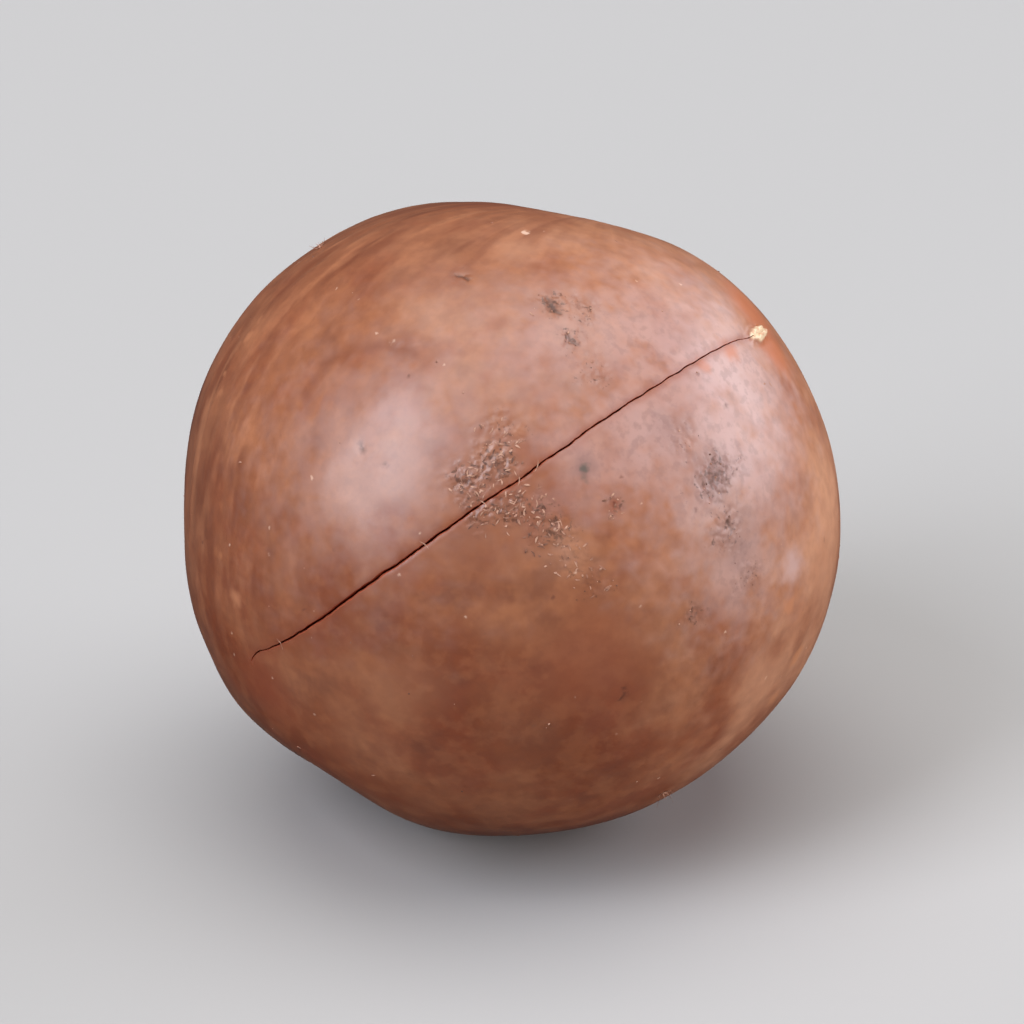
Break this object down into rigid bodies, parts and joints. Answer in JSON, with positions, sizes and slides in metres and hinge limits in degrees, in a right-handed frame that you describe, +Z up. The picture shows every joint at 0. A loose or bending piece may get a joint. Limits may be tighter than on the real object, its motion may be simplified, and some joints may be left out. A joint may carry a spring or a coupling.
{
  "type": "macadamia nut in shell",
  "caption": "Round roasted macadamia nut in its hard brown shell, split along the seam, with a pale pore at one end, a scar at the other and a small flat spot to rest on.",
  "frame": {"origin": "middle of the underside of the bounding box, on the surface that the nut rests on and inside its flat spot", "axes": "+Z up; the split faces -Y and upwards, and the pore is towards +X and +Z"},
  "size_m": [0.0252, 0.025, 0.0245],
  "materials": {
    "roasted_shell": "smooth, satin, mottled red-brown nut shell"
  },
  "bodies": {
    "root": {"macadamia_nut": "roasted_shell"}
  },
  "joints": []
}
